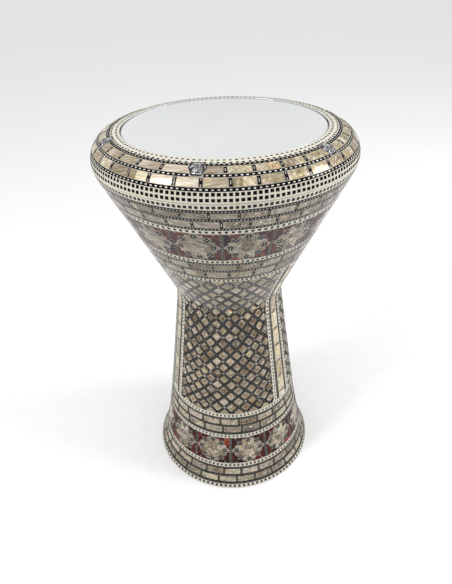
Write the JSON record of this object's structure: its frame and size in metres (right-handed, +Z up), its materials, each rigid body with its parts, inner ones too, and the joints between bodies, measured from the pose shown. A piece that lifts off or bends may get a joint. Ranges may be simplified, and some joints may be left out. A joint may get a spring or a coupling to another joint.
{
  "type": "darbuka",
  "caption": "Goblet hand drum: cast shell inlaid with mother-of-pearl bands, a film head on a hoop, and a rounded tension ring drawn down by recessed tuning bolts.",
  "frame": {"origin": "centre of the foot on the floor", "axes": "+Z up along the axis of the drum, -Y towards the front, +X to the right of the front"},
  "size_m": [0.2736, 0.2736, 0.45],
  "materials": {
    "cast_aluminium": "cast, satin inside, hidden by inlay outside",
    "ring_aluminium": "turned and polished in the counterbores",
    "hoop_aluminium": "satin",
    "film": "smooth semi-gloss coated polyester film",
    "bolt_steel": "bright plated steel",
    "washer_steel": "zinc plated",
    "cream_celluloid": "cream strip with black squares under clear lacquer",
    "black_strip": "black strip with white dashes under clear lacquer",
    "pearl": "mother-of-pearl tiles under clear lacquer",
    "tortoiseshell": "tortoiseshell plates with pearl stars under clear lacquer",
    "lattice_pearl": "pearl diamonds between dotted black strips under clear lacquer"
  },
  "bodies": {
    "shell": {"shell": "cast_aluminium", "dot_band_1": "cream_celluloid", "dot_band_2": "cream_celluloid", "dot_band_3": "cream_celluloid", "dot_band_4": "cream_celluloid", "dot_band_5": "cream_celluloid", "dot_band_6": "cream_celluloid", "dot_band_7": "cream_celluloid", "dot_band_8": "cream_celluloid", "foot_strips": "black_strip", "ankle_strips": "black_strip", "waist_strips": "black_strip", "rim_strips": "black_strip", "pearl_row_1": "pearl", "pearl_row_2": "pearl", "pearl_row_3": "pearl", "pearl_row_4": "pearl", "pearl_row_5": "pearl", "pearl_row_6": "pearl", "pearl_row_7": "pearl", "pearl_row_8": "pearl", "star_band_foot": "tortoiseshell", "star_band_bowl": "tortoiseshell", "neck_panel_1": "lattice_pearl", "neck_panel_2": "lattice_pearl", "neck_panel_3": "lattice_pearl", "pillar_pearl": "pearl", "pillar_strips": "black_strip", "pillar_dot_strips": "cream_celluloid"},
    "head": {"head_film": "film", "head_hoop": "hoop_aluminium"},
    "tension_ring": {"tension_ring": "ring_aluminium", "ring_dot_band": "cream_celluloid", "ring_inner_strip": "black_strip", "ring_pearl_row_1": "pearl", "ring_middle_strip": "black_strip", "ring_pearl_row_2": "pearl", "ring_outer_strip": "black_strip", "ring_square_band": "cream_celluloid", "bolt_frames": "black_strip"},
    "washer_1": {"washer_1": "washer_steel"},
    "bolt_1": {"tuning_bolt_1": "bolt_steel"},
    "washer_2": {"washer_2": "washer_steel"},
    "bolt_2": {"tuning_bolt_2": "bolt_steel"},
    "washer_3": {"washer_3": "washer_steel"},
    "bolt_3": {"tuning_bolt_3": "bolt_steel"},
    "washer_4": {"washer_4": "washer_steel"},
    "bolt_4": {"tuning_bolt_4": "bolt_steel"},
    "washer_5": {"washer_5": "washer_steel"},
    "bolt_5": {"tuning_bolt_5": "bolt_steel"},
    "washer_6": {"washer_6": "washer_steel"},
    "bolt_6": {"tuning_bolt_6": "bolt_steel"}
  },
  "joints": [
    {"name": "head_lift", "type": "slide", "parent": "shell", "child": "head", "axis": [0, 0, 1], "range_m": [0, 0.04]},
    {"name": "ring_lift", "type": "slide", "parent": "head", "child": "tension_ring", "axis": [0, 0, 1], "range_m": [0, 0.04]},
    {"name": "bolt_1_lift", "type": "slide", "parent": "tension_ring", "child": "washer_1", "axis": [0, 0, 1], "range_m": [0, 0.015]},
    {"name": "bolt_1_turn", "type": "hinge", "parent": "washer_1", "child": "bolt_1", "pos_m": [-0.02179, -0.1176, 0.4331], "axis": [0, 0, 1], "range_deg": [0, 5405]},
    {"name": "bolt_2_lift", "type": "slide", "parent": "tension_ring", "child": "washer_2", "axis": [0, 0, 1], "range_m": [0, 0.015]},
    {"name": "bolt_2_turn", "type": "hinge", "parent": "washer_2", "child": "bolt_2", "pos_m": [0.09094, -0.07767, 0.4331], "axis": [0, 0, 1], "range_deg": [0, 5405]},
    {"name": "bolt_3_lift", "type": "slide", "parent": "tension_ring", "child": "washer_3", "axis": [0, 0, 1], "range_m": [0, 0.015]},
    {"name": "bolt_3_turn", "type": "hinge", "parent": "washer_3", "child": "bolt_3", "pos_m": [0.11274, 0.03992, 0.4331], "axis": [0, 0, 1], "range_deg": [0, 5405]},
    {"name": "bolt_4_lift", "type": "slide", "parent": "tension_ring", "child": "washer_4", "axis": [0, 0, 1], "range_m": [0, 0.015]},
    {"name": "bolt_4_turn", "type": "hinge", "parent": "washer_4", "child": "bolt_4", "pos_m": [0.02179, 0.1176, 0.4331], "axis": [0, 0, 1], "range_deg": [0, 5405]},
    {"name": "bolt_5_lift", "type": "slide", "parent": "tension_ring", "child": "washer_5", "axis": [0, 0, 1], "range_m": [0, 0.015]},
    {"name": "bolt_5_turn", "type": "hinge", "parent": "washer_5", "child": "bolt_5", "pos_m": [-0.09094, 0.07767, 0.4331], "axis": [0, 0, 1], "range_deg": [0, 5405]},
    {"name": "bolt_6_lift", "type": "slide", "parent": "tension_ring", "child": "washer_6", "axis": [0, 0, 1], "range_m": [0, 0.015]},
    {"name": "bolt_6_turn", "type": "hinge", "parent": "washer_6", "child": "bolt_6", "pos_m": [-0.11274, -0.03992, 0.4331], "axis": [0, 0, 1], "range_deg": [0, 5405]}
  ],
  "couplings": [
    {"joint": "bolt_1_turn", "follows": "bolt_1_lift", "rad_per_m": 6283.2},
    {"joint": "bolt_2_turn", "follows": "bolt_2_lift", "rad_per_m": 6283.2},
    {"joint": "bolt_3_turn", "follows": "bolt_3_lift", "rad_per_m": 6283.2},
    {"joint": "bolt_4_turn", "follows": "bolt_4_lift", "rad_per_m": 6283.2},
    {"joint": "bolt_5_turn", "follows": "bolt_5_lift", "rad_per_m": 6283.2},
    {"joint": "bolt_6_turn", "follows": "bolt_6_lift", "rad_per_m": 6283.2}
  ]
}
